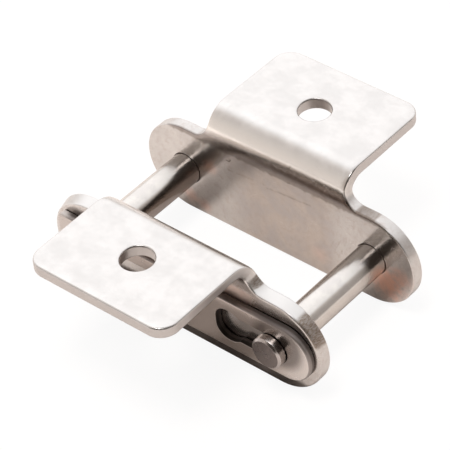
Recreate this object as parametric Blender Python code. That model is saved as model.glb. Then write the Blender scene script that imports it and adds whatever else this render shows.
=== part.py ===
"""Roller chain connecting link with two bent attachment tabs.

The link lies as it rests on a bench. X runs along the chain, Y along the pins and Z up. The origin is
the middle of the footprint, under the middle of the link, at the level of the plates' straight lower
edges. The riveted plate is at +Y, the cover plate and its spring clip are at -Y, and the clip's
closed end is at +X. All sizes are in metres.
"""

from math import acos, asin, atan2, ceil, cos, pi, radians, sin, sqrt

import bmesh
import bpy
from mathutils import Matrix, Vector

# Link
PITCH = 0.0381                  # between the two pin axes
INNER_WIDTH = 0.0207            # between the inner faces of the two plates
PIN_DIAMETER = 0.0056

# Side plates, folded from one sheet each
PLATE_THICKNESS = 0.00225
PLATE_HEIGHT = 0.0167
NECK_RISE = 0.0007              # from the plate's upper edge to the start of the bend
BEND_RADIUS = 0.0026            # inside the bend
TAB_WIDTH = 0.0280              # along the chain, the same as the neck that carries the tab
TAB_REACH = 0.03145             # from the middle of the chain to the tab's free edge
TAB_CORNER_RADIUS = 0.0032
TAB_HOLE_DIAMETER = 0.0055
TAB_HOLE_OFFSET = 0.0213        # from the middle of the chain
SHOULDER_RADIUS = 0.0028        # hollow corner between the neck and the plate's upper edge
PLATE_EDGE_ROUND = 0.0005       # tumbled edges

# Pins
BORE_CLEARANCE = 0.00008        # round the pin in both plates
GROOVE_DEPTH = 0.00055
HEAD_LENGTH = 0.0016            # of the pin's free end, beyond the groove
HEAD_CHAMFER = 0.00035
RIVET_OVERHANG = 0.0006         # of the riveted end, beyond the pin's side
RIVET_HEIGHT = 0.0011
RIVET_CHAMFER = 0.0004
RIVET_GAP = 0.0001              # under the riveted end

# Spring clip
CLIP_THICKNESS = 0.00135
CLIP_HEIGHT = 0.0102
CLIP_GAP = 0.0001               # to the cover plate, and to the groove's far side
CLIP_FIT = 0.0001               # round the groove
CLIP_EDGE_ROUND = 0.00022
CLOSED_END_REACH = 0.00725      # from the right pin's axis to the closed end
SPLIT_END_REACH = 0.0056        # from the left pin's axis to the tips of the prongs
TIP_FLAT = 0.0020               # straight stretch across the tip of a prong
SLOT_PLAY = 0.0006              # from the right pin's groove to the closed end of its slot
KEYHOLE_SPACING = 0.0085        # how far the clip slides when it is fitted
KEYHOLE_CLEARANCE = 0.00025     # round the pin's head as it passes the keyhole
KEYHOLE_FLAT = 0.0013           # straight stretch of the keyhole's blunt end
KEYHOLE_STRETCH = 0.00025       # straight stretch between the keyhole's blunt and round ends
WEB_WIDTH = 0.0045              # solid metal between the keyhole and the slit
SLIT_STEP = 0.0003              # from the top of the left groove's opening up to the slit's edge
SLIT_RAMP_RADIUS = 0.0020       # of the two arcs that lead up that step
MOUTH_GRIP = 0.00065            # how far each prong's lip closes in on the groove's opening
CUSP_LAND = 0.00008             # radius left where an opening narrows, inside the rounded edge
LIP_LAND = 0.0003               # the same at the inner corner of a prong's tip

# Facets
ARC_STEP = radians(9)           # along outlines
ARC_SLACK = 0.001               # share of a step by which an arc may pass a whole number of steps
TURNED_SIDES = 40               # round a pin
BEND_STEPS = 8                  # through the bend
PLATE_EDGE_STEPS = 2            # over a tumbled edge
CLIP_EDGE_STEPS = 1
SMOOTH_ANGLE = radians(35)      # facets that meet at less than this are shaded as one surface
BEND_LINE_SNAP = 1e-6           # a corner this close to a bend line counts as on it

# Sizes that follow from the ones above
PIN_RADIUS = PIN_DIAMETER / 2
GROOVE_RADIUS = PIN_RADIUS - GROOVE_DEPTH
HALF_PITCH = PITCH / 2
INNER_FACE = INNER_WIDTH / 2
OUTER_FACE = INNER_FACE + PLATE_THICKNESS
AXIS_HEIGHT = PLATE_HEIGHT / 2
OUTER_BEND_RADIUS = BEND_RADIUS + PLATE_THICKNESS
MIDDLE_BEND_RADIUS = BEND_RADIUS + PLATE_THICKNESS / 2
BEND_START = PLATE_HEIGHT / 2 + NECK_RISE
BEND_LENGTH = MIDDLE_BEND_RADIUS * pi / 2
TAB_START = BEND_START + BEND_LENGTH
CLIP_HOLD_RADIUS = GROOVE_RADIUS + CLIP_FIT
HALF_SLIT = CLIP_HOLD_RADIUS + SLIT_STEP
CUSP_RADIUS = CLIP_EDGE_ROUND + CUSP_LAND
LIP_RADIUS = CLIP_EDGE_ROUND + LIP_LAND


def clear_scene():
    for item in list(bpy.data.objects):
        bpy.data.objects.remove(item, do_unlink=True)


def steel(name, colour, roughness):
    material = bpy.data.materials.new(name)
    material.use_nodes = True
    shader = material.node_tree.nodes["Principled BSDF"]
    shader.inputs["Base Color"].default_value = (*colour, 1.0)
    shader.inputs["Metallic"].default_value = 1.0
    shader.inputs["Roughness"].default_value = roughness
    return material


def arc(x, v, radius, start, end, outward=1):
    """Points of an arc, each with the direction that points out of the metal.

    outward is 1 where the metal is inside the arc and -1 where it is outside, as round a hole.
    """
    steps = max(1, ceil(abs(end - start) / ARC_STEP - ARC_SLACK))
    points = []
    for step in range(steps + 1):
        angle = start + (end - start) * step / steps
        direction = Vector((cos(angle), sin(angle)))
        points.append((Vector((x, v)) + direction * radius, direction * outward))
    return points


def round_hole(x, v, radius):
    return arc(x, v, radius, 2 * pi, 0, -1)[:-1]


def mirrored(points, flip):
    """The same points on the other side of a middle line, in the opposite order."""
    return [(point * flip, direction * flip) for point, direction in reversed(points)]


def sheet_body(loops, thickness, edge_round, edge_steps):
    """A flat sheet in x and y with rounded edges, from z = 0 to its thickness.

    loops holds the outline and then the holes. Each is a closed list of points with the direction
    that points out of the metal, so the rounded edge is that outline moved into the metal.
    """
    quarter = [pi / 2 * step / edge_steps for step in range(edge_steps + 1)]
    lower = [(edge_round * (1 - sin(a)), edge_round * (1 - cos(a))) for a in quarter]
    upper = [(inset, thickness - level) for inset, level in reversed(lower)]
    body = bmesh.new()
    rim_edges = {0: [], 1: []}
    for loop in loops:
        rings = []
        for inset, level in lower + upper:
            ring = [body.verts.new((*(point - direction * inset), level)) for point, direction in loop]
            rings.append(ring)
        for below, above in zip(rings, rings[1:]):
            for index in range(len(loop)):
                following = (index + 1) % len(loop)
                body.faces.new((below[index], below[following], above[following], above[index]))
        for side, ring in ((0, rings[0]), (1, rings[-1])):
            for index in range(len(loop)):
                rim_edges[side].append(body.edges.get((ring[index], ring[(index + 1) % len(loop)])))
    for side in (0, 1):
        bmesh.ops.triangle_fill(body, use_beauty=True, use_dissolve=False, edges=rim_edges[side])
    bmesh.ops.recalc_face_normals(body, faces=body.faces)
    return body


def plate_outline():
    """The flat blank of a side plate: x along the chain, v up the sheet from the pin axes."""
    end_radius = PLATE_HEIGHT / 2
    half_tab = TAB_WIDTH / 2
    tab_end = TAB_START + TAB_REACH - INNER_FACE - OUTER_BEND_RADIUS
    # The shoulder touches the plate's upper edge, or its round end where the neck is wide.
    shoulder_x = half_tab + SHOULDER_RADIUS
    past_pin = max(0.0, shoulder_x - HALF_PITCH)
    shoulder_level = sqrt((end_radius + SHOULDER_RADIUS) ** 2 - past_pin ** 2)
    meeting_angle = atan2(shoulder_level, past_pin)
    right = arc(HALF_PITCH, 0, end_radius, -pi / 2, meeting_angle)
    shoulder = arc(shoulder_x, shoulder_level, SHOULDER_RADIUS, meeting_angle - pi, -pi, -1)
    right += shoulder[1:] if past_pin else shoulder
    corner = (half_tab - TAB_CORNER_RADIUS, tab_end - TAB_CORNER_RADIUS)
    right += arc(*corner, TAB_CORNER_RADIUS, 0, pi / 2)
    return right + mirrored(right, Vector((-1, 1)))


def fold(point):
    """Takes a point of the flat blank (x, v, depth) to its place on the folded plate.

    Depth is 0 on the chain's side of the sheet, which is the outside of the bend.
    """
    x, v, depth = point
    radius = OUTER_BEND_RADIUS - depth
    if v <= BEND_START:
        return Vector((x, depth, v))
    if v >= TAB_START:
        return Vector((x, OUTER_BEND_RADIUS + v - TAB_START, BEND_START + radius))
    angle = (v - BEND_START) / MIDDLE_BEND_RADIUS
    return Vector((x, OUTER_BEND_RADIUS - radius * cos(angle), BEND_START + radius * sin(angle)))


def plate_mesh():
    """A side plate with its inner face at y = 0, its tab towards +Y and the pin axes at z = 0."""
    bore = PIN_RADIUS + BORE_CLEARANCE
    hole_level = TAB_START + TAB_HOLE_OFFSET - INNER_FACE - OUTER_BEND_RADIUS
    loops = [plate_outline(), round_hole(-HALF_PITCH, 0, bore), round_hole(HALF_PITCH, 0, bore)]
    loops.append(round_hole(0, hole_level, TAB_HOLE_DIAMETER / 2))
    body = sheet_body(loops, PLATE_THICKNESS, PLATE_EDGE_ROUND, PLATE_EDGE_STEPS)
    for step in range(BEND_STEPS + 1):
        bend_line = (0, BEND_START + BEND_LENGTH * step / BEND_STEPS, 0)
        everything = list(body.verts) + list(body.edges) + list(body.faces)
        bmesh.ops.bisect_plane(
            body, geom=everything, dist=BEND_LINE_SNAP, plane_co=bend_line, plane_no=(0, 1, 0)
        )
    for vertex in body.verts:
        vertex.co = fold(vertex.co)
    # Swapping the blank's second and third directions turned the faces over.
    bmesh.ops.reverse_faces(body, faces=body.faces)
    return finished_mesh("folded_plate", body)


def cusp(lobe_x, lobe_radius, half_width, towards):
    """The rounded corner where a round opening runs into a narrower slot, above the middle line.

    towards is 1 where the slot leaves the round opening towards +X and -1 towards -X. The points
    run from the round opening to the slot.
    """
    level = half_width + CUSP_RADIUS
    reach = sqrt((lobe_radius + CUSP_RADIUS) ** 2 - level ** 2)
    x = lobe_x + towards * reach
    return arc(x, level, CUSP_RADIUS, atan2(-level, -towards * reach), -pi / 2)


def lobe_angle(lobe_radius, half_width):
    """How far from the middle line a round opening of this radius meets its slot's rounded corner."""
    return asin((half_width + CUSP_RADIUS) / (lobe_radius + CUSP_RADIUS))


def keyhole():
    """The opening at the closed end: wide enough for the pin's head, then a slot that fits the groove."""
    middle = HALF_PITCH - KEYHOLE_SPACING
    radius = PIN_RADIUS + KEYHOLE_CLEARANCE
    slot_end = HALF_PITCH + SLOT_PLAY - CLIP_FIT
    corner_radius = radius - KEYHOLE_FLAT / 2
    upper = arc(middle - KEYHOLE_STRETCH, KEYHOLE_FLAT / 2, corner_radius, pi, pi / 2, -1)
    upper += arc(middle, 0, radius, pi / 2, lobe_angle(radius, CLIP_HOLD_RADIUS), -1)
    upper += cusp(middle, radius, CLIP_HOLD_RADIUS, 1)[1:]
    end = arc(slot_end, 0, CLIP_HOLD_RADIUS, pi / 2, -pi / 2, -1)
    return upper + end + mirrored(upper, Vector((1, -1)))


def keyhole_blunt_end():
    """Where the keyhole begins, along the chain."""
    radius = PIN_RADIUS + KEYHOLE_CLEARANCE
    return HALF_PITCH - KEYHOLE_SPACING - KEYHOLE_STRETCH - radius + KEYHOLE_FLAT / 2


def slit_ramp():
    """From the top of the left groove's opening up to the slit's edge, above the middle line."""
    turn = acos(1 - SLIT_STEP / (2 * SLIT_RAMP_RADIUS))
    ramp_end = 2 * SLIT_RAMP_RADIUS * sin(turn) - HALF_PITCH
    first_level = CLIP_HOLD_RADIUS + SLIT_RAMP_RADIUS
    second_level = HALF_SLIT - SLIT_RAMP_RADIUS
    rise = arc(-HALF_PITCH, first_level, SLIT_RAMP_RADIUS, -pi / 2, turn - pi / 2)
    level_out = arc(ramp_end, second_level, SLIT_RAMP_RADIUS, pi / 2 + turn, pi / 2, -1)
    return rise + level_out[1:]


def clip_outline():
    """The clip's outer edge, which runs in at the split end, round the left groove and along the slit."""
    half_height = CLIP_HEIGHT / 2
    half_mouth = CLIP_HOLD_RADIUS - MOUTH_GRIP
    closed_x = HALF_PITCH + CLOSED_END_REACH - half_height
    tip_x = -HALF_PITCH - SPLIT_END_REACH
    slit_end = keyhole_blunt_end() - WEB_WIDTH - HALF_SLIT
    tip_radius = half_height - half_mouth - LIP_RADIUS - TIP_FLAT
    tip_outer = arc(tip_x + tip_radius, half_height - tip_radius, tip_radius, pi / 2, pi)
    tip_inner = arc(tip_x + LIP_RADIUS, half_mouth + LIP_RADIUS, LIP_RADIUS, pi, 3 * pi / 2)
    entry = list(reversed(cusp(-HALF_PITCH, CLIP_HOLD_RADIUS, half_mouth, -1)))
    mouth_angle = lobe_angle(CLIP_HOLD_RADIUS, half_mouth)
    hold = arc(-HALF_PITCH, 0, CLIP_HOLD_RADIUS, pi - mouth_angle, pi / 2, -1)
    upper = tip_outer + tip_inner + entry + hold[1:-1] + slit_ramp()
    closed = arc(closed_x, 0, half_height, -pi / 2, pi / 2)
    slit = arc(slit_end, 0, HALF_SLIT, pi / 2, -pi / 2, -1)
    return closed + upper + slit + mirrored(upper, Vector((1, -1)))


def clip_mesh():
    """The clip with its inner face at y = 0 and its outer face at -Y."""
    body = sheet_body([clip_outline(), keyhole()], CLIP_THICKNESS, CLIP_EDGE_ROUND, CLIP_EDGE_STEPS)
    bmesh.ops.rotate(body, verts=body.verts, cent=(0, 0, 0), matrix=Matrix.Rotation(pi / 2, 3, "X"))
    return finished_mesh("flat_clip", body)


def turned_mesh(name, profile):
    """A closed body turned about the Y axis from (y, radius) pairs, with flat ends."""
    body = bmesh.new()
    rings = []
    for y, radius in profile:
        ring = []
        for side in range(TURNED_SIDES):
            angle = 2 * pi * side / TURNED_SIDES
            ring.append(body.verts.new((radius * cos(angle), y, radius * sin(angle))))
        rings.append(ring)
    for first, second in zip(rings, rings[1:]):
        for side in range(TURNED_SIDES):
            following = (side + 1) % TURNED_SIDES
            body.faces.new((first[side], first[following], second[following], second[side]))
    body.faces.new(rings[0])
    body.faces.new(rings[-1])
    bmesh.ops.recalc_face_normals(body, faces=body.faces)
    return finished_mesh(name, body)


def pin_mesh():
    """A pin about its own axis, from its free end at -Y to its riveted end at +Y."""
    groove_inner = -OUTER_FACE
    groove_outer = groove_inner - CLIP_THICKNESS - 2 * CLIP_GAP
    free_end = groove_outer - HEAD_LENGTH
    rivet_seat = OUTER_FACE + RIVET_GAP
    rivet_end = rivet_seat + RIVET_HEIGHT
    rivet_radius = PIN_RADIUS + RIVET_OVERHANG
    profile = [
        (free_end, PIN_RADIUS - HEAD_CHAMFER),
        (free_end + HEAD_CHAMFER, PIN_RADIUS),
        (groove_outer, PIN_RADIUS),
        (groove_outer, GROOVE_RADIUS),
        (groove_inner, GROOVE_RADIUS),
        (groove_inner, PIN_RADIUS),
        (rivet_seat, PIN_RADIUS),
        (rivet_seat, rivet_radius),
        (rivet_end - RIVET_CHAMFER, rivet_radius),
        (rivet_end, rivet_radius - RIVET_CHAMFER),
    ]
    return turned_mesh("turned_pin", profile)


def finished_mesh(name, body):
    mesh = bpy.data.meshes.new(name)
    body.to_mesh(mesh)
    body.free()
    mesh.shade_smooth()
    mesh.set_sharp_from_angle(angle=SMOOTH_ANGLE)
    return mesh


def add_empty(name, location, parent=None):
    empty = bpy.data.objects.new(name, None)
    empty.location = location
    empty.parent = parent
    bpy.context.collection.objects.link(empty)
    return empty


def add_piece(name, mesh, material, parent, location, turn=0.0):
    """Places a piece relative to its parent. Pieces that share a mesh share its material too."""
    piece = bpy.data.objects.new(name, mesh)
    bpy.context.collection.objects.link(piece)
    if not mesh.materials:
        mesh.materials.append(material)
    piece.parent = parent
    piece.location = location
    piece.rotation_euler = (0, 0, turn)
    return piece


def build():
    clear_scene()
    plate_steel = steel("satin_plate_steel", (0.62, 0.58, 0.55), 0.28)
    pin_steel = steel("ground_pin_steel", (0.56, 0.54, 0.52), 0.22)
    clip_steel = steel("polished_spring_steel", (0.50, 0.46, 0.43), 0.2)

    riveted_half = add_empty("riveted_half", (0, 0, AXIS_HEIGHT))
    cover_slide = add_empty("cover_slide", (0, 0, 0), riveted_half)
    folded_plate = plate_mesh()
    pin = pin_mesh()

    add_piece("riveted_plate", folded_plate, plate_steel, riveted_half, (0, INNER_FACE, 0))
    add_piece("cover_plate", folded_plate, plate_steel, cover_slide, (0, -INNER_FACE, 0), pi)
    add_piece("left_pin", pin, pin_steel, riveted_half, (-HALF_PITCH, 0, 0))
    add_piece("right_pin", pin, pin_steel, riveted_half, (HALF_PITCH, 0, 0))
    add_piece("spring_clip", clip_mesh(), clip_steel, riveted_half, (0, -OUTER_FACE - CLIP_GAP, 0))


build()
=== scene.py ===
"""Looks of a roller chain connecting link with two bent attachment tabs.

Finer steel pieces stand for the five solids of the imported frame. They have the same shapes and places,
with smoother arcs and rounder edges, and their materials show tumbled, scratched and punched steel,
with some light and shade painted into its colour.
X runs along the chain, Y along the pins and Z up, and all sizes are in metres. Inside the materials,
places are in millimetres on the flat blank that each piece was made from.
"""

from math import acos, asin, atan2, ceil, cos, pi, radians, sin, sqrt

import bmesh
import bpy
from mathutils import Matrix, Vector


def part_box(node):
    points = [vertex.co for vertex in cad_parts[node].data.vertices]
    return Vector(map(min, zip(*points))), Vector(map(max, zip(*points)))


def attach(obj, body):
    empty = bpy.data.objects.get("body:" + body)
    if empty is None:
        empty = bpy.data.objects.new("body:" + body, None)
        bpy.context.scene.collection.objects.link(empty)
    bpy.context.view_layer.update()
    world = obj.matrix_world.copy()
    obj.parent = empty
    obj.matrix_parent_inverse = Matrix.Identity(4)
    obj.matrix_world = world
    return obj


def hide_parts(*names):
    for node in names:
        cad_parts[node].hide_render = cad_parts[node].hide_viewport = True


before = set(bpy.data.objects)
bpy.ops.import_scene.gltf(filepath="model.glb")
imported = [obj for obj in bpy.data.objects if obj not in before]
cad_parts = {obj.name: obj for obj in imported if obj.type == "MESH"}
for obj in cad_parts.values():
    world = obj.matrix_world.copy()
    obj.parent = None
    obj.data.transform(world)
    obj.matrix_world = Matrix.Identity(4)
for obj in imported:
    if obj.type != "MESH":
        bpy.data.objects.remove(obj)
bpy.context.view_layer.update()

# Places and sizes read from the frame
PLATE_LOW, PLATE_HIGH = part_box("riveted_plate")
PIN_LOW, PIN_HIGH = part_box("right_pin")
CLIP_LOW, CLIP_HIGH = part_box("spring_clip")
HALF_PITCH = (PIN_LOW.x + PIN_HIGH.x) / 2
AXIS_HEIGHT = (PIN_LOW.z + PIN_HIGH.z) / 2
INNER_FACE = PLATE_LOW.y
TAB_REACH = PLATE_HIGH.y
TAB_TOP = PLATE_HIGH.z - AXIS_HEIGHT
END_RADIUS = PLATE_HIGH.x - HALF_PITCH
FREE_END = PIN_LOW.y
RIVETED_END = PIN_HIGH.y
RIVET_RADIUS = (PIN_HIGH.x - PIN_LOW.x) / 2
CLIP_THICKNESS = CLIP_HIGH.y - CLIP_LOW.y
CLIP_HALF_HEIGHT = (CLIP_HIGH.z - CLIP_LOW.z) / 2

# Side plates, as in the part's source
PLATE_THICKNESS = 0.00225
BEND_RADIUS = 0.0026            # inside the bend
TAB_WIDTH = 0.0280              # along the chain
TAB_CORNER_RADIUS = 0.0032
TAB_HOLE_RADIUS = 0.00275
TAB_HOLE_OFFSET = 0.0213        # from the middle of the chain
SHOULDER_RADIUS = 0.0028        # hollow corner between the tab's neck and the plate's upper edge

# Edges of the sheet: rounding, width of the gentle slope before it, how far that slope falls, and how
# far the edge's wall leans in
CRISP_EDGE = (0.00022, 0.0003, 0.00001, 0.0)
TAB_TOP_EDGE = (0.00042, 0.0016, 0.00011, 0.0)
TAB_UNDERSIDE_EDGE = (0.00045, 0.0003, 0.00001, 0.0)
BORE_EDGE = (0.00010, 0.0001, 0.00001, 0.0)
BOLT_HOLE_EDGE = (0.00035, 0.0005, 0.00004, 0.0)
WORN_END_EDGE = (0.00095, 0.0006, 0.00008, 0.0)
LEANING_EDGE = (0.00030, 0.0003, 0.00001, 0.0007)
CLIP_INNER_EDGE = (0.00012, 0.0002, 0.00001, 0.0)
CLIP_OUTER_EDGE = (0.00042, 0.0010, 0.00005, 0.0)

# Outer edges of the plates, at the foot, at the middle of the round ends and at the top
RIVETED_OUTER_EDGES = (CRISP_EDGE, CRISP_EDGE, CRISP_EDGE)
COVER_OUTER_EDGES = (CRISP_EDGE, WORN_END_EDGE, LEANING_EDGE)

# Bend of the side plates, which starts more gently than in the part's source
BEND_ONSET = 0.0034             # length along the sheet over which the bend's curvature builds up

# Pins, as in the part's source
PIN_RADIUS = 0.0028
BORE_CLEARANCE = 0.00008        # round the pin in both plates
GROOVE_RADIUS = 0.00225
HEAD_LENGTH = 0.0016            # of the pin's free end, beyond the groove
HEAD_CHAMFER = 0.00035
RIVET_HEIGHT = 0.0011
RIVET_CHAMFER = 0.0004

# Details of the pins that the part's source leaves out
DIMPLE_RADIUS = 0.0013          # left by the riveting tool
DIMPLE_DEPTH = 0.00018
PIN_CORNER_ROUND = 0.00012

# Spring clip, as in the part's source
CLIP_FIT = 0.0001               # round the groove
SLOT_PLAY = 0.0006              # from the right pin's groove to the closed end of its slot
KEYHOLE_SPACING = 0.0085        # how far the clip slides when it is fitted
KEYHOLE_RADIUS = 0.00305
KEYHOLE_FLAT = 0.0013           # straight stretch of the keyhole's blunt end
KEYHOLE_STRETCH = 0.00025       # straight stretch between the keyhole's blunt and round ends
WEB_WIDTH = 0.0045              # solid metal between the keyhole and the slit
SLIT_STEP = 0.0003              # from the top of the left groove's opening up to the slit's edge
SLIT_RAMP_RADIUS = 0.0020       # of the two arcs that lead up that step
MOUTH_GRIP = 0.00065            # how far each prong's lip closes in on the groove's opening
TIP_FLAT = 0.0020               # straight stretch across the tip of a prong
CUSP_RADIUS = 0.0003            # where an opening narrows
LIP_RADIUS = 0.00052            # inner corner of a prong's tip

# Facets
ARC_STEP = radians(3)           # along outlines
ARC_SLACK = 0.001               # share of a step by which an arc may pass a whole number of steps
BEND_STEPS = 34                 # through the bend
BEND_TABLE = 400                # places along the bend at which the sheet's middle is worked out
EDGE_STEPS = 6                  # over the rounding of an edge
ROLL_STEPS = 5                  # over the gentle slope before it
TURNED_SIDES = 120              # round a pin
FILLET_STEPS = 4                # over a pin's rounded corner
BEND_LINE_SNAP = 1e-6           # a corner this close to a bend line counts as on it

# Sizes that follow from the ones above
KEYHOLE_MIDDLE = HALF_PITCH - KEYHOLE_SPACING
CLIP_HOLD_RADIUS = GROOVE_RADIUS + CLIP_FIT
HALF_SLIT = CLIP_HOLD_RADIUS + SLIT_STEP
MIDDLE_BEND_RADIUS = BEND_RADIUS + PLATE_THICKNESS / 2
BEND_LENGTH = MIDDLE_BEND_RADIUS * pi / 2 + BEND_ONSET / 2

# Camera, in radians and metres, fitted to the edges in the photograph
CAMERA_AZIMUTH = 0.77035        # from straight in front of the cover plate, towards +X
CAMERA_ELEVATION = 0.7261
CAMERA_ROLL = -0.10493
CAMERA_DISTANCE = 0.41581
CAMERA_ASIDE = -0.00162         # from the middle of the link, along the image
CAMERA_RISE = 0.00364           # the same, up the image
CAMERA_LENS = 210.9             # in millimetres, on a 36 mm sensor

# Light
FLOOR_SIZE = 3.0
# The floor is darker near the link: painted shade round it, which the metal mirrors
FLOOR_COLOUR = (0.70, 0.64, 0.60, 1.0)
FLOOR_FAR_COLOUR = (0.94, 0.89, 0.85, 1.0)
FLOOR_FAR_REACH = (0.06, 0.16)  # from the middle of the link, where the far colour sets in
FLOOR_ROUGHNESS = 0.9
FLOOR_WHITE = 1.03
SHADOWLESS_FOR_CAMERA = 0.89    # share of the floor's white that no shadow dims
SHADOWLESS_IN_METAL = 0.03      # the same, for the floor that the metal mirrors
WHITE = (1.0, 1.0, 1.0, 1.0)
HORIZON = (-0.03, 0.0)          # heights of a direction between which the floor's glow ends
FLOOR_GLOW = 0.5                # from below the horizon
STUDIO_COLOUR = (1.0, 0.945, 0.91, 1.0)
STUDIO_LEFT = 0.88              # above the horizon, from left to right
STUDIO_RIGHT = 0.56
STUDIO_SPAN = (-0.8, 0.8)
STUDIO_DARK = 0.06              # the same on the camera's side
DARK_COLOUR = (1.0, 0.80, 0.66, 1.0)
DARK_DIRECTION = (0.72, -0.62, 0.28)
DARK_REACH = (0.30, 0.62)       # cosines of the angle from it at which the dark sets in and is full
PANEL_GLOW = 0.67               # added by a wide panel overhead and behind, which lights the tops
PANEL_COLOUR = (0.99, 1.0, 1.02, 1.0)
PANEL_FRONT = (-0.42, 0.12)     # spans of a direction's y, x and z over which the panel sets in
PANEL_RIGHT = (0.68, 0.42)
PANEL_LOW = (-0.05, 0.33)
CREST_GLOW = 0.12               # added in a patch of the panel, which lights the crest of the bends
CREST_DIRECTION = (-0.52, 0.22, 0.82)
CREST_REACH = (0.97, 0.995)
CEILING_SHARE = 0.65            # of all that light, straight above
CEILING_REACH = (0.92, 0.985)
GLINT_GLOW = 7.5                # of a small bright window, which puts glints on the rounded edges
GLINT_DIRECTION = (0.06, -0.40, 0.91)
GLINT_REACH = (0.985, 0.992)
KEY_SIZE = 0.18
KEY_PLACE = (0.0, -0.13, 0.60)
KEY_POWER = 2.45                # in watts

# Noise in the steel, as scale, detail and roughness, with places in millimetres
PLATE_MOTTLE = (0.22, 4.0, 0.6)
PLATE_BLOTCH = (0.9, 3.0, 0.6)
PLATE_GRAIN = (5.0, 3.0, 0.7)
PLATE_WAVES = (0.10, 1.0, 0.5)
WALL_CLOUDS = (0.20, 5.0, 0.65)
PIN_MOTTLE = (0.5, 3.0, 0.6)
CLIP_MOTTLE = (0.4, 3.0, 0.6)
FINE_GRAIN = (6.0, 3.0, 0.7)
LINE_NOISE = (1.0, 2.0, 0.6)    # of places that are stretched into lines first
HAIRLINE_NOISE = (1.0, 1.0, 0.5)
HATCH_STRETCH = (7.0, 7.0, 0.8)
CLIP_LINE_STRETCH = (0.5, 12.0, 12.0)
RING_STRETCH = (14.0, 9.0)      # how close the rings lie along a pin, and on its ends
HAIRLINE_SOFTNESS = 0.06

# Hairlines on the plates: angle, spacing, length and the noise above which a line shows
HAIRLINES = ((0.35, 0.10, 9.0, 0.68), (1.9, 0.08, 7.0, 0.70), (-0.6, 0.12, 5.0, 0.70))

# Roughness of the steel, which the mottle blends from one to the other
PLATE_ROUGHNESS = (0.16, 0.22)
PIN_ROUGHNESS = (0.17, 0.23)
CLIP_ROUGHNESS = (0.20, 0.26)

# Colours of the plates
PLATE_TONES = ((0.61, 0.585, 0.565, 1.0), (0.68, 0.652, 0.63, 1.0))
WALL_TONES = ((0.49, 0.455, 0.435, 1.0), (0.57, 0.505, 0.455, 1.0))
SPECKLE_COLOUR = (0.45, 0.38, 0.34, 1.0)
# painted highlight through the start of the bend
BEND_HIGHLIGHT_COLOUR = (0.84, 0.79, 0.74, 1.0)
STAIN_COLOUR = (0.98, 0.58, 0.44, 1.0)
# partly a mark of the bending tool and partly a painted dark reflection under the bend
BAND_COLOUR = (0.13, 0.088, 0.068, 1.0)
# painted shade on the tab's cut edge
TAB_EDGE_SHADE_COLOUR = (0.46, 0.425, 0.41, 1.0)
# painted highlight on the cover plate's upper edge
EDGE_HIGHLIGHT_COLOUR = (0.69, 0.665, 0.645, 1.0)
# painted shade at the foot of the cover plate, round the right pin and in the clip's crevice
PAINTED_SHADE_COLOUR = (0.12, 0.10, 0.09, 1.0)
BROWNED_AND_LIT_COLOUR = (0.82, 0.66, 0.585, 1.0)
SHADED_COLOUR = (0.36, 0.29, 0.26, 1.0)
SCRATCH_COLOUR = (0.22, 0.17, 0.14, 1.0)
PATCH_COLOUR = (0.20, 0.135, 0.09, 1.0)

# Colours of the pins
PIN_TONES = ((0.62, 0.58, 0.55, 1.0), (0.68, 0.64, 0.60, 1.0))
FREE_END_LIGHT_COLOUR = (0.80, 0.75, 0.72, 1.0)
CHAMFER_SHADE_COLOUR = (0.30, 0.27, 0.26, 1.0)
END_FACE_SHADE_COLOUR = (0.14, 0.115, 0.108, 1.0)
SOOT_AND_SHADE_COLOUR = (0.20, 0.17, 0.15, 1.0)
SIDE_SHADE_COLOUR = (0.17, 0.13, 0.11, 1.0)
LOW_RIGHT = (0.79, 0.0, -0.61)  # towards the side of a pin with painted shade

# Colours of the clip
# The clip's darker left half and lighter ends are painted shade and painted light
CLIP_TONES = ((0.39, 0.34, 0.31, 1.0), (0.52, 0.46, 0.425, 1.0))
CLIP_END_LIGHT_COLOUR = (0.73, 0.68, 0.65, 1.0)
CLIP_RIM_SHADE_COLOUR = (0.21, 0.18, 0.17, 1.0)
IN_KEYHOLE_SHADE_COLOUR = (0.04, 0.033, 0.03, 1.0)

# Wear and one painted dark reflection, as places (x, v) on the flat blanks, in millimetres: scratches and
# patches run from a start to an end with a width, and stains have a centre and a radius. The last number is
# how strong each one is.
RIVETED_SCRATCHES = (
    ((3.0, 9.7), (3.3, 10.5), 0.16, 0.6),
    ((2.8, 7.6), (3.3, 7.9), 0.14, 0.5),
    ((-10.1, 6.2), (-9.4, 6.1), 0.15, 0.7),
    ((-9.4, 6.1), (-9.1, 6.6), 0.15, 0.7),
    ((-10.4, 4.2), (-2.0, 4.9), 0.30, 0.15),
    ((-1.5, 4.5), (7.2, 5.2), 0.30, 0.18),
    ((10.9, -1.6), (11.9, 0.4), 0.18, 0.15),
    ((11.8, -2.0), (13.0, 0.6), 0.18, 0.15),
    ((13.0, -1.9), (14.3, 1.2), 0.18, 0.15),
)
RIVETED_STAINS = (
    (-21.1, -4.7, 2.2, 0.35),
    (-18.6, -5.7, 2.0, 0.35),
    (-13.9, 2.8, 2.0, 0.35),
    (-15.8, -6.5, 1.8, 0.35),
    (8.5, -4.5, 2.2, 0.15),
    (22.0, -3.4, 4.2, 0.90),
    (24.9, -1.0, 2.6, 0.50),
)
RIVETED_PATCHES = (((17.0, 8.4), (19.3, 8.35), 0.9, 0.55),)
COVER_PATCHES = (
    # painted dark reflection on the side of the tab's neck
    ((-14.9, 9.1), (-14.6, 9.6), 0.75, 0.80),
    ((-24.4, 6.3), (-26.2, 4.2), 1.9, 0.85),
)
COVER_SEED = 37.0               # shifts the cover plate's noise, so that the plates differ
# how strong the worn marks and the painted light and shade on the cover plate's outer face are
COVER_WEAR_AND_LIGHT = 0.9
LEFT_SIDE_SHADE = 0.75             # how strongly each pin's side is painted with shade
RIGHT_SIDE_SHADE = 0.15

MILLIMETRES = 1000.0


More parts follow.
